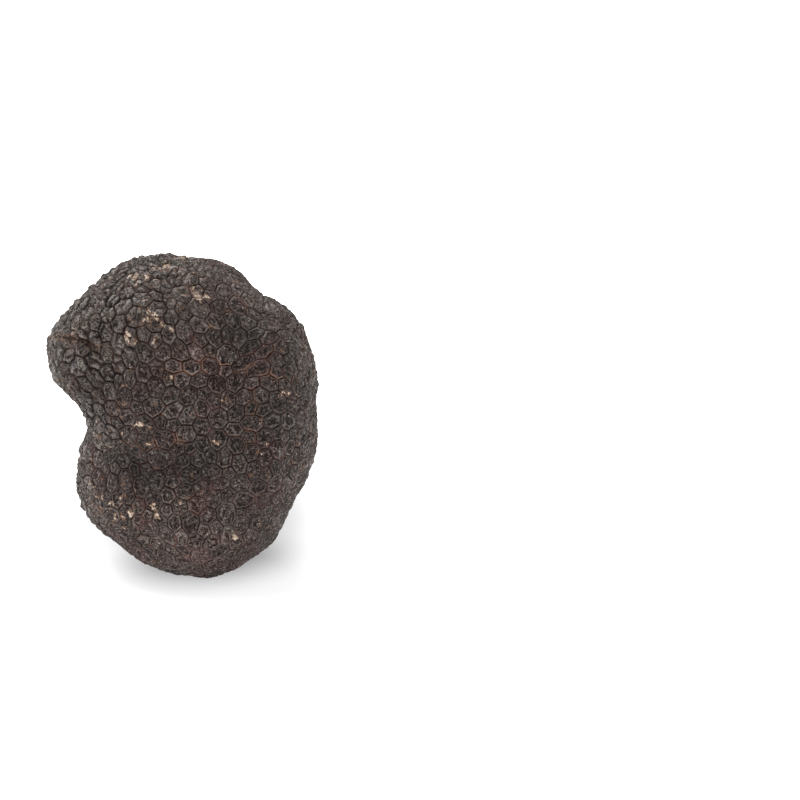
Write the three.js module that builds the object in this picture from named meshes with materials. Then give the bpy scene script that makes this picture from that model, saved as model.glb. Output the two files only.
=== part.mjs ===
// A black truffle: one lobed, knobbly fruit body, covered all over by low polygonal warts.
//
// Millimetres, +Z up. The truffle rests on a small flat spot on its underside, and the middle of
// that spot is the origin. Its nose points along -X, and its flatter front faces -Y.
//
// The fruit body is a smooth union of round lobes. Warts are spread over it by a seeded rule, and
// each is a low frustum: its foot is a polygon of groove corners that it shares with its
// neighbours, and its blunt top is a smaller polygon raised from the body. Together they are one
// closed skin, so the truffle is a single solid.

import * as THREE from "three";
import { ConvexHull } from "three/addons/math/ConvexHull.js";

// ---------------------------------------------------------------- driving dimensions, mm

// Lobes of the fruit body: the centre and the three radii of each.
const LOBES = [
  { name: "crown", centre: [-4.2, 0.5, 38.8], radii: [15.1, 17.5, 16.4] },
  { name: "ridge", centre: [-6.6, -5.0, 45.9], radii: [11.7, 10.0, 5.9] },
  { name: "crest", centre: [5.0, 1.5, 43.5], radii: [7.0, 12.0, 9.2] },
  { name: "nose", centre: [-16.7, -1.5, 39.1], radii: [7.0, 11.5, 7.0] },
  { name: "brow", centre: [-1.8, -8.0, 30.0], radii: [14.2, 10.8, 10.6] },
  { name: "shoulder", centre: [13.4, -0.5, 34.1], radii: [8.0, 16.3, 12.9] },
  { name: "belly", centre: [-6.3, -1.0, 17.9], radii: [13.0, 16.0, 12.2] },
  { name: "base", centre: [1.0, 0.0, 16.7], radii: [16.5, 17.2, 17.2] },
  { name: "flank", centre: [8.5, -1.5, 24.1], radii: [12.4, 16.5, 13.0] },
  { name: "nape", centre: [-3.0, 10.0, 36.0], radii: [12.0, 11.0, 12.0] },
  { name: "rump", centre: [5.0, 8.5, 20.5], radii: [12.0, 11.5, 12.5] },
];
const LOBE_BLEND = 1.4; // how widely one lobe melts into the next
const CORE = new THREE.Vector3(0, 0, 28); // a point inside, from which all of the skin is seen
const REACH = 60; // no skin is farther than this from the core
const CLOSE_ENOUGH = 1e-6; // to the skin, when a point on it is searched for

// Slow dents and swellings over the lobes, as waves that cross.
const SWELLING_WAVES = 7;
const SWELLING_HEIGHT = 0.11; // of each wave
const SWELLING_LENGTHS = [7, 15]; // shortest and longest wave

// Warts. The grooves over the flat spot stand clear of the surface that the truffle rests on, and
// the tops there are pressed flat against it.
const WART_SPACING = 2.68; // least distance between the middles of two warts
const WART_SPACING_SPREAD = 0.28; // how much that varies from wart to wart, as a share
const WART_HEIGHT = 0.62;
const WART_HEIGHT_SPREAD = 0.3; // how much that varies from wart to wart, as a share
const WART_TOP_SHARE = 0.6; // width of the blunt top, as a share of the foot
const WART_TOP_CORNERS = 4; // most corners that a top keeps
const WART_TRIES = 60000; // places tried, after which next to no wart still fits
const REST_GROOVE = 0.4; // how far the grooves over the flat spot stand above it
const SEED = 7;

// The front is calmer than the rest: its warts lie lower.
const CALM_MIDDLE = new THREE.Vector3(4, -18, 27);
const CALM_RADIUS = 20;
const CALM_HEIGHT = 0.62; // height of a wart in the middle of the calm front, as a share

const SKIN_COLOUR = 0x3b322e;
const SKIN_ROUGHNESS = 0.85;

const random = () => THREE.MathUtils.seededRandom();

function randomDirection() {
  const height = THREE.MathUtils.lerp(-1, 1, random());
  const turn = 2 * Math.PI * random();
  const ring = Math.sqrt(1 - height * height);
  return new THREE.Vector3(ring * Math.cos(turn), ring * Math.sin(turn), height);
}

// ---------------------------------------------------------------- fruit body

// Rough distance from a point to the surface of the joined lobes: negative inside.
function distanceOutside(point) {
  let total = 0;
  for (const { centre, radii } of LOBES) {
    const [x, y, z] = point.toArray().map((value, axis) => (value - centre[axis]) / radii[axis]);
    const distance = (Math.hypot(x, y, z) - 1) * Math.min(...radii);
    total += Math.exp(-distance / LOBE_BLEND);
  }
  return -LOBE_BLEND * Math.log(total);
}

// The waves that make the swellings, each with its own direction, length and phase.
function swellingWaves() {
  return Array.from({ length: SWELLING_WAVES }, () => {
    const direction = randomDirection();
    const length = THREE.MathUtils.lerp(...SWELLING_LENGTHS, random());
    const phase = 2 * Math.PI * random();
    return { along: direction.multiplyScalar((2 * Math.PI) / length), phase };
  });
}

// How far the skin swells outwards at a point.
function swelling(point, waves) {
  const crests = waves.map(({ along, phase }) => Math.cos(along.dot(point) + phase));
  return SWELLING_HEIGHT * crests.reduce((sum, crest) => sum + crest, 0);
}

// The point of the body's surface that is seen from the core along a direction.
function bodyPoint(direction, waves) {
  const point = new THREE.Vector3();
  const at = (distance) => point.copy(CORE).addScaledVector(direction, distance);
  let [inside, outside] = [0, REACH];
  while (outside - inside > CLOSE_ENOUGH) {
    const halfway = (inside + outside) / 2;
    if (distanceOutside(at(halfway)) < 0) inside = halfway;
    else outside = halfway;
  }
  at(inside + swelling(at(inside), waves));
  point.z = Math.max(point.z, REST_GROOVE);
  return point;
}

// The outward normal of the body at a point near its surface.
function bodyNormal(point) {
  const step = 0.05;
  const slopes = ["x", "y", "z"].map((axis) => {
    const [ahead, behind] = [point.clone(), point.clone()];
    ahead[axis] += step;
    behind[axis] -= step;
    return distanceOutside(ahead) - distanceOutside(behind);
  });
  return new THREE.Vector3(...slopes).normalize();
}

// ---------------------------------------------------------------- wart layout

// The middles of the warts. The first is over the middle of the flat spot, and each later one is
// thrown at random and stays where it has room.
function wartMiddles(waves) {
  const warts = [];
  let direction = new THREE.Vector3(0, 0, -1);
  for (let tried = 0; tried < WART_TRIES; tried++) {
    const middle = bodyPoint(direction, waves);
    const room = WART_SPACING * (1 + WART_SPACING_SPREAD * THREE.MathUtils.lerp(-1, 1, random()));
    const fits = warts.every((wart) => wart.middle.distanceTo(middle) > Math.min(room, wart.room));
    if (fits) warts.push({ direction, middle, room });
    direction = randomDirection();
  }
  return warts;
}

// Triples of wart numbers that are neighbours, anticlockwise as seen from outside.
function neighbourTriples(warts) {
  const numbers = new Map(warts.map((wart, number) => [wart.direction, number]));
  const hull = new ConvexHull().setFromPoints([...numbers.keys()]);
  return hull.faces.map(({ edge }) =>
    [edge, edge.next, edge.next.next].map((side) => numbers.get(side.head().point)),
  );
}

// For each wart, the triples round it in order, anticlockwise as seen from outside.
function triplesRound(warts, triples) {
  const leftOf = new Map(); // from "wart>neighbour" to the triple on the left of that line
  const start = [];
  triples.forEach((triple, t) =>
    triple.forEach((wart, i) => {
      leftOf.set(`${wart}>${triple[(i + 1) % 3]}`, t);
      start[wart] = t;
    }),
  );
  return warts.map((_, wart) => {
    const round = [];
    let t = start[wart];
    do {
      round.push(t);
      const before = triples[t][(triples[t].indexOf(wart) + 2) % 3];
      t = leftOf.get(`${wart}>${before}`);
    } while (t !== start[wart]);
    return round;
  });
}

// ---------------------------------------------------------------- warts

function mean(points) {
  return points.reduce((sum, point) => sum.add(point), new THREE.Vector3()).divideScalar(points.length);
}

// How high a wart stands: by chance, and lower on the calm front.
function wartHeight(middle) {
  const away = Math.min(1, middle.distanceTo(CALM_MIDDLE) / CALM_RADIUS);
  const share = THREE.MathUtils.lerp(CALM_HEIGHT, 1, THREE.MathUtils.smoothstep(away, 0, 1));
  return WART_HEIGHT * share * (1 + WART_HEIGHT_SPREAD * THREE.MathUtils.lerp(-1, 1, random()));
}

// The numbers of the corners that a top keeps: the bluntest corners are dropped first.
function keptCorners(corners) {
  const kept = corners.map((_, number) => number);
  while (kept.length > WART_TOP_CORNERS) {
    const cutOff = kept.map((corner, i) => {
      const before = kept.at(i - 1);
      const after = kept[(i + 1) % kept.length];
      return new THREE.Triangle(corners[before], corners[corner], corners[after]).getArea();
    });
    kept.splice(cutOff.indexOf(Math.min(...cutOff)), 1);
  }
  return kept;
}

function truffleGeometry() {
  THREE.MathUtils.seededRandom(SEED);
  const waves = swellingWaves();
  const warts = wartMiddles(waves);
  const triples = neighbourTriples(warts);

  // One groove corner between each three neighbouring warts. The corners of the tops follow them.
  const points = triples.map((triple) => {
    const between = mean(triple.map((wart) => warts[wart].middle));
    return bodyPoint(between.sub(CORE).normalize(), waves);
  });

  const faces = [];
  for (const [number, foot] of triplesRound(warts, triples).entries()) {
    const middle = mean(foot.map((corner) => points[corner]));
    const rise = bodyNormal(warts[number].middle).multiplyScalar(wartHeight(middle));
    const top = foot.map((corner) => points[corner].clone().lerp(middle, 1 - WART_TOP_SHARE).add(rise));
    for (const corner of top) corner.z = Math.max(corner.z, 0);

    // Each foot corner joins its own top corner, or the next one where its own is dropped.
    const kept = keptCorners(top);
    const placed = kept.map((corner) => points.push(top[corner]) - 1);
    const joined = foot.map((_, i) => placed[Math.max(0, kept.findIndex((corner) => corner >= i))]);

    foot.forEach((corner, i) => {
      const next = (i + 1) % foot.length;
      faces.push([corner, foot[next], joined[next]]);
      if (joined[i] !== joined[next]) faces.push([corner, joined[next], joined[i]]);
    });
    for (let i = 2; i < placed.length; i++) faces.push([placed[0], placed[i - 1], placed[i]]);
  }

  const geometry = new THREE.BufferGeometry().setFromPoints(points);
  geometry.setIndex(faces.flat());
  geometry.computeVertexNormals();
  return geometry;
}

// ---------------------------------------------------------------- model

const skin = new THREE.MeshStandardMaterial({
  color: SKIN_COLOUR,
  roughness: SKIN_ROUGHNESS,
  metalness: 0,
  flatShading: true,
});

const truffle = new THREE.Mesh(truffleGeometry(), skin);
truffle.name = "truffle";

const model = new THREE.Group();
model.add(truffle);

export default model;
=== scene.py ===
# %% [markdown]
# # A black truffle
#
# A black truffle is one fruit body, grown underground in a single piece. Its dark skin is split
# all over into small many-sided warts, with thin reddish grooves between them. Where a wart has
# been rubbed or chipped, the pale tan flesh just under the skin shows.
#
# The solid that comes with this lesson has the lobes and one plain, blunt wart in each place.
# Here it is turned into a finer skin: the same grooves, with dented plates and split knobs for
# warts, whose heights follow those of the plain ones. Then the skin is coloured, set on a pale
# floor and lit.

# %% Load the plain solid
import math

import bmesh
import bpy
import numpy as np
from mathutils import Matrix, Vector
from mathutils.kdtree import KDTree


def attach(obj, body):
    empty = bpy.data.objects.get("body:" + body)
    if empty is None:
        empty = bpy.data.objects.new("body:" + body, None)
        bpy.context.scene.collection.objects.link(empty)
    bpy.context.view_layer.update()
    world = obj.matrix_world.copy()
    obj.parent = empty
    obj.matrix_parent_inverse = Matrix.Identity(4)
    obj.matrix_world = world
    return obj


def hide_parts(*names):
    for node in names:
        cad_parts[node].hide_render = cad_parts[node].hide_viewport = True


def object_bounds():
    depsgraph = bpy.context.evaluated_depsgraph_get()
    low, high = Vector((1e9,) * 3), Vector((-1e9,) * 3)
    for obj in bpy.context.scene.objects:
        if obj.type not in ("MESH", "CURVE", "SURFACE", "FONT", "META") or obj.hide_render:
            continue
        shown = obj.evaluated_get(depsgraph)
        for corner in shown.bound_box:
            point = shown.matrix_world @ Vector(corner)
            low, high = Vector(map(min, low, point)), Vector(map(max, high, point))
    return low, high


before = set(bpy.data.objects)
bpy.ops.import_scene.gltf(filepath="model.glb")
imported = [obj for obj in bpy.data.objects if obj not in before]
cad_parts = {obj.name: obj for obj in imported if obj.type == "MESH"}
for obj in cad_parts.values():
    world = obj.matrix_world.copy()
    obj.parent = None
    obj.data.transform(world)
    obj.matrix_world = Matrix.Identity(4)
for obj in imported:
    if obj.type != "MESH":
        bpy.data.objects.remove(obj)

MM = 0.001
cad_box = [list(corner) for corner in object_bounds()]
print("the plain solid fills", cad_box)

# %% [markdown]
# ## The groove net
#
# The plain solid is made of loose triangles: each wart is a ring of walls round a blunt top. A
# finer wart needs a clean start, which is its outline and nothing else. So a copy of the mesh is
# merged, the raised corners of the tops are picked out and dissolved, and one many-sided face is
# left for each wart. The edges of these faces are the grooves. It could also be drawn again from
# scattered points, but then the warts would not lie where those of the solid do.
#
# A raised corner stands out from the middle of its neighbours, while a groove corner lies deeper
# than they do. Where the whole skin bends in, as along the furrow, both lie deep, so each corner
# is compared with its neighbours: the raised ones stand out more than those round them.

# %% Copy the solid and merge its corners
def work_on(piece):
    """Deselects everything else, so that operators change this piece alone."""
    bpy.ops.object.select_all(action="DESELECT")
    piece.select_set(True)
    bpy.context.view_layer.objects.active = piece


skin = bpy.data.objects.new("truffle_skin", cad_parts["truffle"].data.copy())
bpy.context.scene.collection.objects.link(skin)
skin.data.materials.clear()
work_on(skin)
bpy.ops.mesh.customdata_custom_splitnormals_clear()
bpy.ops.object.mode_set(mode="EDIT")
bpy.ops.mesh.select_mode(type="VERT")
bpy.ops.mesh.select_all(action="SELECT")
bpy.ops.mesh.remove_doubles(threshold=0.001 * MM)
print("merged corners:", len(bmesh.from_edit_mesh(skin.data).verts))

# %% Dissolve the raised corners, and keep where they were
net = bmesh.from_edit_mesh(skin.data)
net.normal_update()
net.verts.ensure_lookup_table()


def neighbours(corner):
    """The corners that an edge joins to this one."""
    return [edge.other_vert(corner) for edge in corner.link_edges]


stand_out = []
for corner in net.verts:
    around = neighbours(corner)
    middle = sum((other.co for other in around), Vector()) / len(around)
    stand_out.append(corner.normal.dot(corner.co - middle))

raised = []
for corner in net.verts:
    around = [stand_out[other.index] for other in neighbours(corner)]
    corner.select_set(stand_out[corner.index] > sum(around) / len(around))
    if corner.select:
        raised.append(corner.co.copy())
net.select_flush_mode()
bmesh.update_edit_mesh(skin.data)
bpy.ops.mesh.dissolve_verts()
bpy.ops.object.mode_set(mode="OBJECT")
groove_corners, warts = len(skin.data.vertices), len(skin.data.polygons)
print(warts, "warts, between", groove_corners, "groove corners")

# %% [markdown]
# ## How tall each wart is
#
# The blunt tops are gone from the mesh, but the places of their corners were kept. Each corner
# belongs to the wart whose middle is nearest. The height of a wart is how far its own corners lie
# above its outline, on average.

# %% Measure the warts
middles = KDTree(warts)
for face in skin.data.polygons:
    middles.insert(face.center, face.index)
middles.balance()

tops = [[] for _ in range(warts)]
for point in raised:
    _, nearest, _ = middles.find(point)
    face = skin.data.polygons[nearest]
    tops[nearest].append(face.normal.dot(point - face.center))
wart_height = np.array([np.mean(heights) for heights in tops])
print("wart heights, mm:", np.round(np.percentile(wart_height / MM, (0, 50, 100)), 2))

# %% [markdown]
# ## Points enough for a wart
#
# Poke puts a point in the middle of every wart and joins it to the outline, and Subdivide then
# spreads more points evenly over these slices. Both are done to all the warts at once.
#
# Two attributes are written before the subdivision. `share` is 0 in the groove and 1 in the
# middle of a wart, and `number` is 0 in the groove and the wart's own number in its middle.
# Subdivide blends both in the same way, so later `number / share` tells every point which wart
# it is part of.

# %% Poke and subdivide
SLICE_CUTS = 4


def point_values(name):
    """The values of a point attribute, as an array."""
    values = np.zeros(len(skin.data.vertices), np.float32)
    skin.data.attributes[name].data.foreach_get("value", values)
    return values


def store(name, values):
    """Keeps one number for each point of the skin, for modelling or for the finish."""
    attribute = skin.data.attributes.get(name) or skin.data.attributes.new(name, "FLOAT", "POINT")
    attribute.data.foreach_set("value", np.asarray(values, np.float32))


bpy.ops.object.mode_set(mode="EDIT")
bpy.ops.mesh.select_all(action="SELECT")
bpy.ops.mesh.poke(center_mode="MEDIAN")
bpy.ops.object.mode_set(mode="OBJECT")
in_middle = np.arange(len(skin.data.vertices)) >= groove_corners
wart_number = np.cumsum(in_middle) - 1
store("share", in_middle)
store("number", np.where(in_middle, wart_number, 0))

bpy.ops.object.mode_set(mode="EDIT")
bpy.ops.mesh.select_all(action="SELECT")
bpy.ops.mesh.subdivide(number_cuts=SLICE_CUTS)
bpy.ops.object.mode_set(mode="OBJECT")
print("points:", len(skin.data.vertices), "faces:", len(skin.data.polygons))

# %% Find the wart of every point
share = point_values("share")
wart = np.rint(point_values("number") / np.maximum(share, 0.01)).astype(int)
print("shares:", np.unique(np.round(share, 3)), "warts:", len(np.unique(wart)))

# %% [markdown]
# ## From slices to domes
#
# Every point can now be placed by two facts: where its wart's middle is, and how far in from the
# groove it lies. The points are first drawn closer to the grooves, because the steep walls of a
# wart are there. Then the whole net is given a slight wander by a Displace modifier with a
# coloured cloud texture, since real grooves are never quite straight.
#
# Where and how much the later modifiers move the skin is held in vertex groups, as it would be if
# the weights were painted by hand.

# %% Helpers to place the points and to move the skin in or out
def places():
    """Where the points of the skin are, in metres."""
    flat = np.zeros(3 * len(skin.data.vertices), np.float32)
    skin.data.vertices.foreach_get("co", flat)
    return flat.reshape(-1, 3).astype(float)


def place(points):
    """Puts the points of the skin at these places, in metres."""
    skin.data.vertices.foreach_set("co", points.astype(np.float32).ravel())
    skin.data.update()


def clouds(name, grain, colour=False, depth=1):
    """A cloud texture with lumps about as wide as grain, in mm."""
    texture = bpy.data.textures.new(name, "CLOUDS")
    texture.noise_scale = grain * MM
    texture.noise_depth = depth
    texture.cloud_type = "COLOR" if colour else "GRAYSCALE"
    return texture


def paint_group(name, weights):
    """A vertex group with one weight, from 0 to 1, for each point."""
    group = skin.vertex_groups.new(name=name)
    for point, weight in enumerate(weights):
        if weight > 0:
            group.add([point], float(weight), "REPLACE")


def displace(name, height, group="", texture=None, middle=0.5, direction="NORMAL"):
    """Moves the skin by up to height, in mm. Where the texture equals middle, it stays."""
    modifier = skin.modifiers.new(name, "DISPLACE")
    modifier.strength = height * MM
    modifier.vertex_group = group
    modifier.texture = texture
    modifier.texture_coords = "LOCAL"
    modifier.mid_level = middle
    modifier.direction = direction
    work_on(skin)
    bpy.ops.object.modifier_apply(modifier=name)

# %% Draw the points towards the grooves, and let the grooves wander
EVEN_SHARES = [0, 0.2, 0.4, 0.6, 0.8, 1]  # the shares that SLICE_CUTS leaves the points at
DRAWN_SHARES = [0, 0.11, 0.28, 0.5, 0.76, 1]  # and where each of them is drawn to
WANDER = 0.3  # how strongly the grooves stray, in mm

points = places()
wart_middle = np.zeros((warts, 3))
in_middle = share > 0.999
wart_middle[wart[in_middle]] = points[in_middle]
inwards = wart_middle[wart] - points
outside = np.where(in_middle, 1, share / np.maximum(1 - share, 0.01))
groove_point = points - inwards * outside[:, None]
drawn = np.interp(share, EVEN_SHARES, DRAWN_SHARES)
moved = groove_point + (wart_middle[wart] - groove_point) * drawn[:, None]
movable = (share > 0) & ~in_middle
points[movable] = moved[movable]
place(points)

reach = np.linalg.norm(wart_middle[wart] - groove_point, axis=1) / MM
widest = np.zeros(warts)
np.maximum.at(widest, wart[movable], reach[movable])
groove_distance = drawn * np.where(in_middle, widest[wart], reach)
displace("wander", WANDER, texture=clouds("groove_wander", 1.1, colour=True), direction="RGB_TO_XYZ")
print("farthest point from a groove, mm:", groove_distance.max().round(2))

# %% [markdown]
# ## Plates and knobs
#
# In the front the warts of this truffle are flat plates with a shallow dent. At the crown, at the
# nose and over much of the back the skin is rocky: the warts are steeper knobs that lean, and each
# is split into three lumps. Named spots say where the skin is rocky. They fade out at their edges,
# so that plates turn into knobs over a few warts.
#
# The lumps are cells round three middles, which are placed by chance in each wart. Half the
# difference between a point's distances from the two nearest middles is about its distance from
# the border between them. Modelling the borders as edges would need many more faces. The finish
# gets the same middles later, so that its dark lines of painted shade lie where the skin dips.

# %% Where the skin is rocky
ROCKY_SPOTS = [  # the middle of each rocky part, how far it reaches in mm, and how rocky it is
    ("crown", (-10, -3, 52), 14, 1.0),
    ("nose", (-22, -6, 38), 11, 1.0),
    ("temple", (-16, -12, 45), 9, 1.0),
    ("brow", (-16, -12, 30), 6, 1.0),
    ("belly_left", (-19, -4, 17), 9, 0.8),
    ("shoulder", (20, 0, 40), 12, 0.5),
    ("right", (23, -2, 24), 12, 0.4),
    ("nape", (-4, 22, 44), 15, 1.0),
    ("rump", (2, 24, 20), 12, 0.8),
]
ROCKY_FADE = (0.65, 1.35)  # where a rocky part starts and ends to fade, in times its reach

rocky = np.zeros(len(points))
for _, spot, spot_reach, strength in ROCKY_SPOTS:
    away = np.linalg.norm(points / MM - spot, axis=1) / spot_reach
    fade = np.interp(away, ROCKY_FADE, (1, 0))
    rocky = np.maximum(rocky, strength * fade)
print("share of the skin that is rocky:", rocky.mean().round(2))

# %% Give each wart two directions of its own, a lean and its share of chance
SEED = 5
LEAN = 0.6
TWIST = 0.4  # how far the directions of the warts stray from straight up the skin

rng = np.random.default_rng(SEED)
outwards = wart_middle - wart_middle.mean(axis=0)
outwards /= np.linalg.norm(outwards, axis=1)[:, None]
across = np.cross([0, 0, 1] + rng.normal(size=(warts, 3)) * TWIST, outwards)
across /= np.linalg.norm(across, axis=1)[:, None]
along = np.cross(outwards, across)
chance = rng.random(warts)

offset = (points - wart_middle[wart]) / MM
sideways = (offset * across[wart]).sum(axis=1)
lengthways = (offset * along[wart]).sum(axis=1)
lean = (sideways * np.cos(9 * chance[wart]) + lengthways * np.sin(9 * chance[wart])) / widest[wart]

# %% Split the rocky warts into lumps
LUMPS = 3
LUMP_STRETCH = (1.2, 0.8)  # lumps are narrower across than along
LUMP_EDGE = 0.45  # how far in from its border a lump is rounded, in mm

first_turn = rng.uniform(0, 2 * np.pi, (warts, 1))
stray = rng.uniform(-0.3, 0.3, (warts, LUMPS))
turn = first_turn + 2 * np.pi / LUMPS * (np.arange(LUMPS) + stray)
spread = rng.uniform(0.35, 0.95, (warts, LUMPS))
lump_middle = np.stack([spread * np.cos(turn), spread * np.sin(turn)], axis=2)
to_lump = np.stack([sideways, lengthways], axis=1)[:, None] * LUMP_STRETCH - lump_middle[wart]
to_lump = np.sort(np.linalg.norm(to_lump, axis=2), axis=1)
to_edge = (to_lump[:, 1] - to_lump[:, 0]) / 2
bulge = 1 - (1 - np.minimum(1, to_edge / LUMP_EDGE)) ** 2
print("a lump's middle is at most this far from its edge, mm:", to_edge[rocky > 0.9].max().round(2))

# %% Raise the warts
PLATE_PROFILE = [0, 0.72, 1.0, 0.94, 0.86, 0.84]
KNOB_PROFILE = [0, 0.55, 0.82, 0.96, 1.0, 1.0]
PLATE_HEIGHT = 0.7  # this and the next are in times the height of the plain wart
KNOB_HEIGHT = 0.85
ROCKY_GAP = 0.12  # how much deeper the grooves are between knobs, in mm

plate = np.interp(share, EVEN_SHARES, PLATE_PROFILE) * PLATE_HEIGHT
knob = np.interp(share, EVEN_SHARES, KNOB_PROFILE) * KNOB_HEIGHT * (1 + LEAN * lean)
knob = knob * (0.3 + 0.7 * bulge)
rise = wart_height[wart] * (plate + (knob - plate) * rocky)
tallest = rise.max()
paint_group("rise", rise / tallest)
displace("raise_warts", tallest / MM, group="rise", middle=0)
paint_group("gap", np.clip(1 - drawn / 0.15, 0, 1) * rocky)
displace("deepen_gaps", -ROCKY_GAP, group="gap", middle=0)
print("tallest wart, mm:", round(tallest / MM, 2))

# %% [markdown]
# ## A crease at the nose
#
# At the nose the skin is folded in along a line that crosses several warts, so this line is not
# part of the groove net. Cutting it into the mesh would leave sharp walls. A Displace modifier
# whose weights fall away from a line through five places also bends the warts beside it, as a
# real fold does.

# %% Fold a long crease in at the nose
CREASE = [
    (-22.5, -6.5, 43.6), (-21.0, -9.0, 43.9), (-18.4, -12.2, 44.2), (-15.8, -13.6, 43.8),
    (-14.4, -14.8, 43.1),
]
CREASE_DEPTH = 0.4
CREASE_BOTTOM = 0.3  # from its line to the foot of its sides, in mm
CREASE_SIDE = 0.3  # how wide its sides are, in mm


def line_distance(line):
    """How far the points of the skin are from a line through a few places, in mm."""
    nearest = np.full(len(points), np.inf)
    for start, end in zip(line, line[1:]):
        way = np.subtract(end, start)
        from_start = places() / MM - start
        part = np.clip(from_start @ way / (way @ way), 0, 1)
        nearest = np.minimum(nearest, np.linalg.norm(from_start - part[:, None] * way, axis=1))
    return nearest


crease = np.maximum(0, line_distance(CREASE) - CREASE_BOTTOM)
paint_group("crease_weights", np.exp(-((crease / CREASE_SIDE) ** 2)))
displace("crease", -CREASE_DEPTH, group="crease_weights", middle=0)
print("points in the crease:", int((crease < 0.4).sum()))

# %% [markdown]
# ## Dents and crumples
#
# As a truffle dries, its warts sink and crumple. Two Displace modifiers with cloud textures do
# this, a coarse one for dents and a fine one for crumples. Their weights are low on the plates and
# nothing in the grooves, so that the net stays clear.

# %% Dent and crumple the warts
DENT_DEPTH, DENT_WIDTH = 0.6, 0.7  # all four are in mm
CRUMPLE_DEPTH, CRUMPLE_WIDTH = 0.28, 0.35

paint_group("tops", np.minimum(1, drawn * 2) * (0.3 + 0.7 * rocky))
displace("dents", DENT_DEPTH, group="tops", texture=clouds("dents", DENT_WIDTH))
displace("crumples", CRUMPLE_DEPTH, group="tops", texture=clouds("crumples", CRUMPLE_WIDTH))
farthest = np.linalg.norm(places(), axis=1).max() / MM
print("farthest point from the origin, mm:", farthest.round(2))

# %% [markdown]
# ## The flat spot
#
# The plain solid stands on a few warts whose tops are pressed flat. The finer warts are a little
# lower there, so only their highest points reach the floor. What hangs below it is pushed up to
# it, and the skin is also kept within the box of the plain solid.

# %% Press the underside flat
points = np.clip(places(), cad_box[0], cad_box[1])
place(points)
work_on(skin)
bpy.ops.object.shade_smooth()
print("points on the flat spot:", int((points[:, 2] < cad_box[0][2] + 0.01 * MM).sum()))

# %% [markdown]
# ## What the finish needs to know
#
# Much of the colour follows the shape, so the shape passes it on as attributes, which are like
# painted masks, with one number for each point: how far it is from its groove, from the crease and
# from the rusty lines, how rocky or rubbed the skin is there, how far it stands out, which sets
# painted light and shade, and how pale it is, with more painted light and shade. The rubbed spots,
# the tones and the rusty lines are named lists, so each can be moved.
#
# The tones are partly the colour of the skin and partly painted light and shade: they darken the
# folds with painted shade, and make the belly and the sole paler with painted light, where this
# set-up has little light. A truffle for another scene would have them all nearer to 1.
#
# Four more attributes lie on the corners of the faces and not on the points, because a point in a
# groove is part of several warts. `wart_place` lays each wart out flat round its own middle, in
# millimetres, so that ribs can run from the middle to the rim. Its third number is one by chance
# for each wart. `lump_0` to `lump_2` are the middles of its lumps.

# %% Where the skin is rubbed
RUBBED_SPOTS = [  # the middle of each rubbed spot, how far it reaches in mm, and how strongly
    ("crown_left", (-7.0, -8.5, 53.5), 3.2, 1.25),
    ("crown", (-3.5, -5.0, 55.0), 3.0, 1.25),
    ("crown_back", (-0.5, 3.0, 55.0), 2.5, 1.0),
    ("crest", (2.0, -10.5, 51.0), 3.0, 1.0),
    ("forehead", (-5.5, -15.8, 48.6), 3.2, 1.15),
    ("forehead_low", (-8.5, -16.0, 45.5), 2.0, 0.8),
    ("temple", (-10.7, -15.5, 42.8), 1.6, 0.9),
    ("cheek", (-9.5, -17.2, 34.1), 2.5, 0.7),
    ("cheek_low", (-7.2, -18.1, 31.5), 2.0, 0.8),
    ("notch", (-15.5, -12.5, 29.0), 2.0, 0.7),
    ("brow", (-11.0, -16.3, 27.8), 2.2, 0.8),
    ("brow_right", (5.5, -18.9, 28.4), 1.2, 0.8),
    ("side", (17.7, -15.1, 36.1), 2.0, 0.8),
    ("belly_left", (-14.8, -13.6, 17.0), 3.0, 0.9),
    ("belly", (-9.5, -16.7, 14.5), 3.6, 0.9),
    ("belly_mid", (-4.5, -17.5, 15.5), 2.0, 0.9),
    ("belly_right", (1.0, -17.8, 17.8), 1.8, 0.95),
    ("foot", (8.2, -14.3, 9.6), 1.8, 0.7),
    ("nape", (-6.0, 19.0, 40.0), 4.5, 1.0),
    ("rump", (8.0, 19.0, 22.0), 4.0, 1.0),
    ("back_left", (-19.0, 6.0, 36.0), 3.0, 1.0),
]


def nearness(spot, spot_reach):
    """1 in the middle of a spot, falling away smoothly round it."""
    distance = np.linalg.norm(points / MM - spot, axis=1)
    return np.exp(-((distance / spot_reach) ** 2))


rubbed = np.zeros(len(points))
for _, spot, spot_reach, strength in RUBBED_SPOTS:
    rubbed = np.maximum(rubbed, strength * nearness(spot, spot_reach))
print("share of the skin that is rubbed:", round(float((rubbed > 0.5).mean()), 3))
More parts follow.
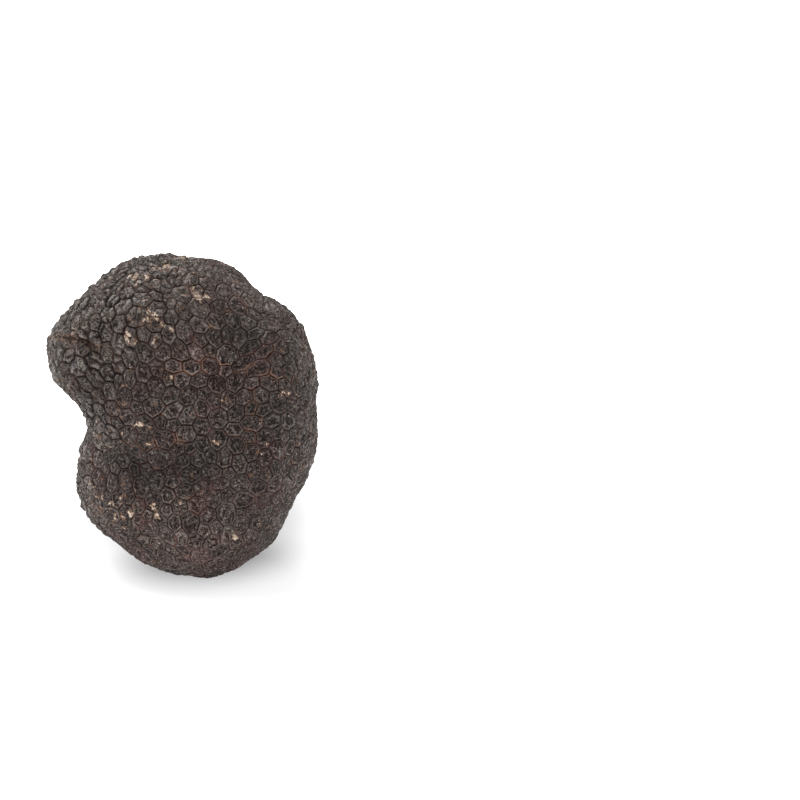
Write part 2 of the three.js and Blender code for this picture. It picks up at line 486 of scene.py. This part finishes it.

# %% How pale the skin is, with painted light and shade
# Each tone is partly the colour of the skin and partly painted light: below 1 it is painted shade, as
# in the furrow and the valley, and above 1 painted light, as on the crest, the shoulder, the belly and
# the sole.
TONE_AND_PAINTED_LIGHT_SPOTS = [  # the middle of each part, how far it reaches in mm, and how many times as pale
    ("furrow_left", (-11.5, -14.5, 23.0), 3.5, 0.75),
    ("furrow", (-7.0, -17.0, 23.6), 3.5, 0.62),
    ("furrow_middle", (-3.0, -18.0, 23.9), 3.5, 0.62),
    ("furrow_right", (2.5, -18.4, 24.0), 3.5, 0.62),
    ("valley", (10.4, -11.2, 44.9), 4.0, 0.65),
    ("valley_left", (4.0, -15.1, 41.5), 5.5, 1.5),
    ("temple", (-10.2, -15.9, 46.5), 4.0, 0.75),
    ("crown_front", (-3.5, -12.0, 52.3), 3.0, 0.75),
    ("crest", (5.0, -5.0, 54.0), 4.5, 1.4),
    ("shoulder", (12.0, -4.0, 48.5), 4.5, 1.45),
    ("nose_bridge", (-17.8, -12.0, 46.0), 3.0, 1.35),
    ("nose", (-20.8, -11.6, 39.0), 4.5, 0.85),
    ("neck", (-15.0, -13.5, 33.0), 6.0, 0.64),
    ("waist", (7.3, -17.6, 32.5), 3.5, 1.25),
    ("hip", (4.3, -18.5, 29.1), 3.5, 0.85),
    ("side", (15.4, -17.3, 29.0), 8.0, 0.82),
    ("side_edge", (20.0, -8.0, 33.0), 7.0, 0.85),
    ("belly_left", (-16.5, -10.5, 17.0), 5.0, 1.25),
    ("belly", (-5.0, -16.0, 12.0), 10.0, 1.48),
    ("sole", (3.0, -12.0, 5.0), 9.0, 1.7),
]

tone_and_painted_light = np.ones(len(points))
for _, spot, spot_reach, times in TONE_AND_PAINTED_LIGHT_SPOTS:
    tone_and_painted_light *= 1 + (times - 1) * nearness(spot, spot_reach)
print("tone of the skin:", tone_and_painted_light.min().round(2), "to", tone_and_painted_light.max().round(2))

# %% Where the grooves are rusty
RUSTY_LINES = [  # the rusty grooves follow these lines, through places in mm
    [(-0.6, -17.6, 38.8), (1.4, -16.9, 40.0), (4.6, -15.6, 40.7), (7.5, -13.9, 40.8)],
    [(9.5, -14.5, 39.9), (12.6, -15.3, 40.1), (13.9, -15.9, 38.7), (16.4, -15.1, 38.4),
     (18.7, -11.8, 37.3)],
    [(11.6, -16.8, 35.7), (11.6, -18.0, 31.7), (11.1, -18.5, 27.4)],
    [(-9.2, -17.2, 27.7), (-5.4, -18.7, 27.4), (-2.4, -18.9, 28.5), (-0.1, -18.8, 28.7)],
]

rust = np.min([line_distance(line) for line in RUSTY_LINES], axis=0)
print("points near a rusty line:", int((rust < 1).sum()))

# %% How far each point stands out from the skin round it
ROUNDS = 6  # each round looks about a third of a millimetre farther

ends = np.zeros(2 * len(skin.data.edges), np.int32)
skin.data.edges.foreach_get("vertices", ends)
here, there = ends.reshape(-1, 2).T
joined = np.bincount(ends, minlength=len(points))[:, None]
normals = np.zeros(3 * len(points), np.float32)
skin.data.vertices.foreach_get("normal", normals)
smooth = points
for _ in range(ROUNDS):
    total = np.zeros_like(points)
    np.add.at(total, here, smooth[there])
    np.add.at(total, there, smooth[here])
    smooth = (smooth + total) / (1 + joined)
# In the finish this sets painted light where the skin stands out and painted shade where it dips.
ridge = ((points - smooth) * normals.reshape(-1, 3)).sum(axis=1) / MM
print("points stand out by, mm:", np.percentile(ridge, (2, 50, 98)).round(3))

# %% Store the masks for the finish, and clear what only the modelling needed
masks = {
    "rust": rust, "groove_distance": groove_distance, "rocky": rocky, "rubbed": rubbed,
    "ridge": ridge, "tone_and_painted_light": tone_and_painted_light, "crease": crease,
}
for name, values in masks.items():
    store(name, values)
for spare in ("share", "number"):
    skin.data.attributes.remove(skin.data.attributes[spare])
skin.vertex_groups.clear()
print("masks for the finish:", ", ".join(masks))

# %% Lay each wart out flat
corner_point = np.zeros(len(skin.data.loops), np.int32)
skin.data.loops.foreach_get("vertex_index", corner_point)
corners = corner_point.reshape(-1, 3)
face_wart = np.where(share > 0, wart, -1)[corners].max(axis=1)
corner_wart = np.repeat(face_wart, 3)

from_middle = (points[corner_point] - wart_middle[corner_wart]) / MM
wart_place = np.stack([
    (from_middle * across[corner_wart]).sum(axis=1),
    (from_middle * along[corner_wart]).sum(axis=1),
    chance[corner_wart],
], axis=1)


def store_vector(name, vectors):
    """Keeps three numbers for each corner of each face."""
    attribute = skin.data.attributes.new(name, "FLOAT_VECTOR", "CORNER")
    attribute.data.foreach_set("vector", vectors.astype(np.float32).ravel())


store_vector("wart_place", wart_place)
for number in range(LUMPS):
    store_vector(f"lump_{number}", np.pad(lump_middle[corner_wart, number], ((0, 0), (0, 1))))
print("widest wart, mm:", (2 * np.abs(wart_place[:, :2]).max()).round(2))

# %% [markdown]
# ## Sockets that can be reckoned with
#
# A finish is a sum: so much of this noise, less of that mask. It is easier to read as Python than
# as a web of nodes, so one small class wraps a socket, and plus, minus, times and divide on it add
# the Math nodes. Its `node` method adds any other node.

# %% The wrapped socket
class Socket:
    """One output of a node, which can be added, multiplied and so on as if it were a number."""

    tree = None  # the node tree that new nodes are added to

    def __init__(self, output):
        self.output = output

    @classmethod
    def node(cls, kind, settings, inputs, output=0):
        """Adds a node: its type, then its settings, then the values or links of its inputs."""
        node = cls.tree.nodes.new("ShaderNode" + kind)
        for name, value in settings.items():
            setattr(node, name, value)
        for name, value in inputs.items():
            if isinstance(value, cls):
                cls.tree.links.new(value.output, node.inputs[name])
            else:
                node.inputs[name].default_value = value
        return cls(node.outputs[output]) if node.outputs else None

    @classmethod
    def math(cls, operation, *values):
        """Adds a Math node."""
        return cls.node("Math", {"operation": operation}, dict(enumerate(values)))

    def __add__(self, other):
        return self.math("ADD", self, other)

    def __sub__(self, other):
        return self.math("SUBTRACT", self, other)

    def __rsub__(self, other):
        return self.math("SUBTRACT", other, self)

    def __mul__(self, other):
        return self.math("MULTIPLY", self, other)

    def __truediv__(self, other):
        return self.math("DIVIDE", self, other)

    __radd__ = __add__
    __rmul__ = __mul__


def read(name, output="Fac"):
    """A mask that is stored on the skin."""
    return Socket.node("Attribute", {"attribute_name": name}, {}, output)


def step(value, low, high):
    """0 below low, 1 above high, and smooth between them."""
    limits = {"Value": value, "From Min": low, "From Max": high}
    return Socket.node("MapRange", {"interpolation_type": "SMOOTHSTEP"}, limits, "Result")


def noise(place, grain, detail=2.0, roughness=0.5):
    """Cloudy noise, near 0.5, with lumps about as wide as grain, in mm."""
    inputs = {"Vector": place, "Scale": 1 / grain, "Detail": detail, "Roughness": roughness}
    return Socket.node("TexNoise", {}, inputs, "Fac")


def stretch(place, by):
    """A place multiplied along each of its three directions."""
    return Socket.node("VectorMath", {"operation": "MULTIPLY"}, {0: place, 1: by}, "Vector")


def tint(factor, colour, other):
    """One colour turning into the other, as factor goes from 0 to 1."""
    return Socket.node("Mix", {"data_type": "RGBA"}, {0: factor, 6: colour, 7: other}, 2)


def srgb(red, green, blue):
    """A colour as a screen shows it, from 0 to 255, for a socket."""
    def linear(part):
        part /= 255
        return part / 12.92 if part <= 0.04045 else ((part + 0.055) / 1.055) ** 2.4
    return (linear(red), linear(green), linear(blue), 1.0)


print("a dark brown:", [round(part, 3) for part in srgb(62, 52, 48)])

# %% [markdown]
# ## The finish of the skin
#
# Each wart of a black truffle is ringed: a thin, almost black line in the groove, then a paler
# brown rim, and a darker, wrinkled middle with tiny pale grains. Some grooves have a touch of
# rust. On top of that come slow changes from grey brown to red brown, and tan chips.
#
# The wrinkles are a sum of noises: ribs from the middle of a wart to its rim, slots that run
# along some warts, rings that follow the rim, round granules and grain. Most of them are read at
# places that are stretched or bent first: the ribs, for one, change fast with the direction from a
# wart's middle and slowly with the distance from it. Where the skin is rocky, cracks with pale
# edges run through it: the cracks are painted shade, and their pale edges painted highlight. The
# same sum feeds the relief and the colour: the pits get painted shade and the ridges painted light.
# It could be painted on an image, but noises stay sharp at any distance.

# %% Start the finish, with the places that patterns are measured from
finish = bpy.data.materials.new("truffle_skin_finish")
finish.use_nodes = True
Socket.tree = finish.node_tree
finish.node_tree.nodes.clear()

object_place = Socket.node("TexCoord", {}, {}, "Object")
place_mm = stretch(object_place, (1 / MM,) * 3)
rocky_mask = read("rocky")
rubbed_mask = read("rubbed")
high = read("ridge")
wart_xy = read("wart_place", "Vector")
wart_chance = Socket.node("SeparateXYZ", {}, {"Vector": wart_xy}, "Z")


def wandering(place, amount):
    """A place moved about by noise, a little differently in each direction."""
    noise_colour = Socket.node("TexNoise", {}, {"Vector": place_mm, "Scale": 1.5}, "Color")
    inputs = {0: noise_colour, 1: amount, 2: place}
    return Socket.node("VectorMath", {"operation": "MULTIPLY_ADD"}, inputs, "Vector")


def apart(place, other):
    """How far two places are from each other."""
    return Socket.node("VectorMath", {"operation": "DISTANCE"}, {0: place, 1: other}, "Value")


lump_place = wandering(stretch(wart_xy, (*LUMP_STRETCH, 0)), (0.5, 0.5, 0))
one, two, three = (apart(lump_place, read(f"lump_{number}", "Vector")) for number in range(LUMPS))
nearer, farther = Socket.math("MINIMUM", one, two), Socket.math("MAXIMUM", one, two)
first = Socket.math("MINIMUM", nearer, three)
second = Socket.math("MINIMUM", farther, Socket.math("MAXIMUM", nearer, three))
# The crevices between lumps are joined to the grooves, so the dark groove line also paints shade into
# them.
crevice = (second - first) * 0.5 + (1 - step(rocky_mask, 0.2, 0.6))
groove = Socket.math("MINIMUM", read("groove_distance"), crevice) + (noise(place_mm, 0.5) - 0.5) * 0.12
deep = step(noise(place_mm, 2.2, 2.0), 0.35, 0.6)
line = (1 - step(groove - rocky_mask * 0.03, 0.02, 0.15)) * (0.45 + deep * 0.55)
rim = step(groove, 0.18, 0.27) * (1 - step(groove, 0.3, 0.42))
middle = step(groove + rocky_mask * 0.2, 0.28, 0.45)

# %% Wrinkles: ribs from the middle to the rim, granules, creases and grain
def even(value, spread=0.12):
    """Noise moved to lie round 0 and spread to about 1 either way."""
    return (value - 0.5) / spread


FAR_APART = 40  # times a wart's chance, so that no two warts show the same part of a noise

flat_place = stretch(wart_xy, (1, 1, 0))
direction = Socket.node("VectorMath", {"operation": "NORMALIZE"}, {0: flat_place}, "Vector")
fan = Socket.node(
    "VectorMath", {"operation": "MULTIPLY_ADD"},
    {0: direction, 1: (2.2, 2.2, 0), 2: stretch(wart_xy, (0.5, 0.5, FAR_APART))}, "Vector",
)
slotted = step(wart_chance, 0.55, 0.6)
slots = even(noise(stretch(wart_xy, (2.2, 0.5, FAR_APART)), 1.0, 1.0))
ribs = even(noise(fan, 0.8, 1.0)) * (1 - step(groove, 0.7, 1.2))
ribs = ribs * (1 - slotted) + slots * slotted
ring_inputs = {"X": groove * 2.2, "Y": wart_chance * FAR_APART, "Z": noise(place_mm, 1.5) * 2}
rings = even(noise(Socket.node("CombineXYZ", {}, ring_inputs, "Vector"), 1.0, 1.0))
bent_place = wandering(place_mm, (0.9,) * 3)


def cells(feature, size):
    """Distance from the middle (F1) or from the border of cells that are about size wide, in mm."""
    inputs = {"Vector": bent_place, "Scale": 1 / size}
    return Socket.node("TexVoronoi", {"feature": feature}, inputs, "Distance")


granules = (0.42 - cells("F1", 0.55)) * 4.5
border = cells("DISTANCE_TO_EDGE", 1.1)
creases = (1 - step(border, 0.02, 0.1)) * (1 - rocky_mask)
lobes = step(border, 0.0, 0.4) * (1 - rocky_mask) + step(groove, 0.0, 0.35) * rocky_mask * 3
grain = even(noise(place_mm, 0.3, 2.0))
folds = Socket.math("MINIMUM", *(
    Socket.math("ABSOLUTE", noise(bent_place, size, 1.0) - 0.5) for size in (1.3, 0.8)
))
cracks = (1 - step(folds, 0.008, 0.028)) * rocky_mask
edges = step(folds, 0.024, 0.038) * (1 - step(folds, 0.045, 0.065))
lips = step(groove, 0.13, 0.18) * (1 - step(groove, 0.22, 0.28)) * step(noise(place_mm, 1.0), 0.4, 0.6)
edges = Socket.math("MAXIMUM", edges, lips) * rocky_mask
grit = even(noise(place_mm, 0.2, 1.0)) * rocky_mask
crumple = ribs * 0.55 + rings * 0.45 + granules * 0.45 + grain * 0.65 + grit * 0.3

WRINKLE_DEPTH = 0.13  # these depths and heights are in mm
RIM_HEIGHT = 0.06
LINE_DEPTH = 0.12
LOBE_HEIGHT = 0.1
EDGE_HEIGHT = 0.05
CRACK_DEPTH = 0.1
CHIP_HEIGHT = 0.04

height = crumple * (0.3 + middle * 0.7) * WRINKLE_DEPTH + rim * RIM_HEIGHT - line * LINE_DEPTH
height = height + lobes * LOBE_HEIGHT + edges * EDGE_HEIGHT - cracks * CRACK_DEPTH

# %% Colour
RIM = srgb(110, 100, 96)
MIDDLE = srgb(74, 64, 60)
# The pit colour is painted shade, for pits, creases and cracks. The ridge colour is painted light. The
# speck colour is both the pale grains and the painted highlight on the edges of the cracks.
PAINTED_SHADE = srgb(21, 12, 8)
PAINTED_RIDGE_LIGHT = srgb(121, 111, 106)
PALE_GRAIN_AND_HIGHLIGHT = srgb(169, 159, 149)
GROOVE_AND_SHADE = srgb(27, 13, 10)
RUST = srgb(107, 70, 59)
TAN = srgb(218, 198, 178)
BROWN = srgb(137, 105, 85)
RED_BROWN = srgb(80, 55, 52)
GREY_BROWN = srgb(90, 74, 67)

worn = step(noise(place_mm, 2.0, 2.0) + (wart_chance - 0.5) * 0.3, 0.4, 0.62)
reddish = step(noise(place_mm, 6.0, 2.0), 0.48, 0.62)
colour = tint(rocky_mask * 0.6, MIDDLE, GREY_BROWN)
colour = tint(rim * worn * (0.8 - rocky_mask * 0.4), colour, RIM)
colour = tint(reddish * 0.5, colour, RED_BROWN)
# Painted light and shade: where the skin stands out or the wrinkles rise the colour turns pale, and
# where it dips it turns dark.
shape = crumple * (1.1 + rocky_mask * 0.4) + high * rocky_mask * 4
colour = tint(step(shape, 0.2, 1.5) * (0.25 + middle * 0.55), colour, PAINTED_RIDGE_LIGHT)
colour = tint(step(0.0 - shape, 0.1, 1.2) * (0.3 + middle * 0.65), colour, PAINTED_SHADE)
colour = tint(step(granules + grain, 1.7, 2.3) * middle * 0.7, colour, PALE_GRAIN_AND_HIGHLIGHT)
# Painted shade in the crease lines of the wart middles and in the rocky cracks, and painted highlight
# on the pale edges beside the cracks.
colour = tint(creases * 0.5 * middle, colour, PAINTED_SHADE)
colour = tint(edges * 0.6, colour, PALE_GRAIN_AND_HIGHLIGHT)
colour = tint(cracks * 0.85, colour, PAINTED_SHADE)
seam = 1 - step(Socket.math("ABSOLUTE", noise(place_mm, 7.0, 1.0) - 0.5), 0.0, 0.05)
long_seam = 1 - step(read("rust"), 0.7, 1.7)
seam = Socket.math("MAXIMUM", seam * 0.55, long_seam * 0.75)
brownish = Socket.math("MAXIMUM", rocky_mask * 0.6, long_seam * 0.55)
short = 0.4 + step(noise(place_mm, 1.5, 1.0), 0.4, 0.6) * 0.6
rusty = seam * short * (1 - step(groove, 0.12, 0.42))
colour = tint(rusty, colour, tint(brownish, RUST, BROWN))
from_crease = read("crease")
beside_crease = (1 - step(from_crease, 0.25, 0.65)) * step(crumple, -1.6, 0.4)
colour = tint(beside_crease * 0.75, colour, BROWN)
# The tone attribute scales the colour, so it paints light and shade as well as the skin's own paler and
# darker parts.
paleness_and_painted_light = read("tone_and_painted_light") * (0.8 + wart_chance * 0.28)
colour = Socket.node("VectorMath", {"operation": "SCALE"}, {0: colour, "Scale": paleness_and_painted_light}, "Vector")
# The groove colour is both the dark of the real grooves and painted shade, in the crevices between
# lumps and along the bottom of the crease.
crease_shade = 1 - step(from_crease, 0.02, 0.12)
colour = tint(Socket.math("MAXIMUM", line, crease_shade * 0.8), colour, GROOVE_AND_SHADE)
bit = Socket.node("TexVoronoi", {}, {"Vector": bent_place, "Scale": 1.4}, "Color")
bit_chance = Socket.node("SeparateXYZ", {}, {"Vector": bit}, "X")
flakes = noise(place_mm, 1.9, 3.0, 0.5) * 0.75 + bit_chance * 0.2 + rubbed_mask * 0.17 + crumple * 0.01
colour = tint(step(flakes, 0.63, 0.7) * 0.6, colour, BROWN)
chips = step(flakes, 0.705, 0.725)
colour = tint(chips * (1 - line), colour, tint(step(grain, -2.2, 0.8), BROWN, TAN))

# %% Gloss and fine relief
roughness = 0.68 + middle * 0.1
shine = step(shape, 0.0, 1.8) * (0.34 + rocky_mask * 0.3)
height = height + chips * CHIP_HEIGHT
relief = Socket.node("Bump", {}, {"Height": height, "Distance": MM, "Strength": 1.0}, "Normal")
shader = Socket.node(
    "BsdfPrincipled", {},
    {"Base Color": colour, "Roughness": roughness, "Normal": relief, "Specular IOR Level": 0.2,
     "Coat Weight": shine, "Coat Roughness": 0.5},
    "BSDF",
)
Socket.node("OutputMaterial", {}, {"Surface": shader})
skin.data.materials.append(finish)
print("nodes in the finish:", len(finish.node_tree.nodes))

# %% [markdown]
# ## Floor, light and camera
#
# The truffle stands on white paper in soft studio light. The paper glows with painted light:
# weakly in an oval under and behind the truffle, which is a painted shadow, and more and more round
# it. The far paper lights the underside, and the dim oval reads as a soft shadow from the front. A
# large lamp stands overhead, a little to the left and behind, and the surround is brighter at the
# back and on the left, so that the warts are modelled by light from the side. The camera looks
# slightly down on the truffle with a long lens.

# %% The floor
PAPER = 0.36  # how much light the paper sends back
# The glow of the paper is painted light, and the dim glow in the oval is a painted shadow.
PAINTED_SHADOW_GLOW = (0.04, 0.04, 0.04, 1)  # in the oval under and behind the truffle
NEAR_GLOW = (0.83, 0.83, 0.84, 1)
FAR_GLOW = (2.2, 2.2, 2.2, 1)
OVAL_MIDDLE = 30 * MM  # how far it lies behind the origin
OVAL_INNER, OVAL_OUTER, GLOW_REACH = 12.0, 28.8, 65.0  # half widths, in mm
OVAL_SHAPE = 0.6  # its width, in times its length

bpy.ops.mesh.primitive_plane_add(size=6, location=(0, 0, cad_box[0][2]))
floor = bpy.context.object
floor.name = "floor"
paper = bpy.data.materials.new("white_paper")
paper.use_nodes = True
paper.node_tree.nodes.clear()
Socket.tree = paper.node_tree
spot = Socket.node("TexCoord", {}, {}, "Object")
spot = Socket.node("VectorMath", {"operation": "SUBTRACT"}, {0: spot, 1: (0, OVAL_MIDDLE, 0)}, "Vector")
spot = stretch(spot, (1 / MM, OVAL_SHAPE / MM, 0))
away = Socket.node("VectorMath", {"operation": "LENGTH"}, {0: spot}, "Value")
# Painted shadow in the oval, and painted light round it.
painted_glow_and_shadow = tint(step(away, OVAL_INNER, OVAL_OUTER), PAINTED_SHADOW_GLOW, NEAR_GLOW)
painted_glow_and_shadow = tint(step(away, OVAL_OUTER, GLOW_REACH), painted_glow_and_shadow, FAR_GLOW)
shader = Socket.node(
    "BsdfPrincipled", {},
    {"Base Color": (PAPER, PAPER, PAPER, 1), "Roughness": 0.9, "Emission Color": painted_glow_and_shadow,
     "Emission Strength": 1.0},
    "BSDF",
)
Socket.node("OutputMaterial", {}, {"Surface": shader})
floor.data.materials.append(paper)
print("the dim oval is", 2 * OVAL_OUTER, "mm wide and", 2 * OVAL_OUTER / OVAL_SHAPE, "mm long")

# %% The lights
SURROUND_FRONT = 0.08  # how bright the room is behind the camera
SURROUND_BACK = 0.75  # and behind the truffle
SURROUND_LEFT = 0.5  # and how much brighter it is on the left

world = bpy.data.worlds.new("surround")
bpy.context.scene.world = world
world.use_nodes = True
world.node_tree.nodes.clear()
Socket.tree = world.node_tree
towards = Socket.node("TexCoord", {}, {}, "Generated")
depth = Socket.node("SeparateXYZ", {}, {"Vector": towards}, "Y")
side = Socket.node("SeparateXYZ", {}, {"Vector": towards}, "X")
brightness = SURROUND_FRONT + step(depth, -0.9, 0.2) * (SURROUND_BACK - SURROUND_FRONT)
brightness = brightness + step(0.0 - side, 0.3, 1.0) * SURROUND_LEFT
glow = Socket.node("Background", {}, {"Color": (1, 1, 1, 1), "Strength": brightness}, "Background")
Socket.node("OutputWorld", {}, {"Surface": glow})

TRUFFLE_MIDDLE = Vector((0, 0, 28 * MM))


def lamp(name, place, size, watts):
    """A square soft lamp that faces the truffle, with its place and size in metres."""
    light = bpy.data.lights.new(name, "AREA")
    light.size = size
    light.energy = watts
    holder = bpy.data.objects.new(name, light)
    bpy.context.scene.collection.objects.link(holder)
    holder.location = place
    holder.rotation_euler = (TRUFFLE_MIDDLE - holder.location).to_track_quat("-Z", "Y").to_euler()


lamp("overhead", Vector((-0.3, 0.3, 0.9)), 1.0, 17.0)
print("lamps:", [light.name for light in bpy.data.lights])

# %% The camera
SENSOR = 36.0  # its width in mm, as the lens is in mm
CAMERA_LENS = 130.5
CAMERA_TILT = math.radians(15)
CAMERA_DISTANCE = 0.5  # from the point that it looks at, in metres
AIM = Vector((36.2, 0, 30.35)) * MM  # right of the truffle, which so stands left in the view

camera = bpy.data.objects.new("camera", bpy.data.cameras.new("camera"))
bpy.context.scene.collection.objects.link(camera)
camera.data.sensor_width = SENSOR
camera.data.lens = CAMERA_LENS
camera.data.clip_start = 0.01
backwards = Vector((0, -math.cos(CAMERA_TILT), math.sin(CAMERA_TILT)))
camera.location = AIM + backwards * CAMERA_DISTANCE
camera.rotation_euler = backwards.to_track_quat("Z", "Y").to_euler()
bpy.context.scene.camera = camera
bpy.context.scene.view_settings.view_transform = "Standard"
print("camera at", [round(part, 3) for part in camera.location])

# %% [markdown]
# ## Hand over
#
# The fine skin rides on the truffle's only body and stands for the plain solid.

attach(skin, "root")
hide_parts("truffle")
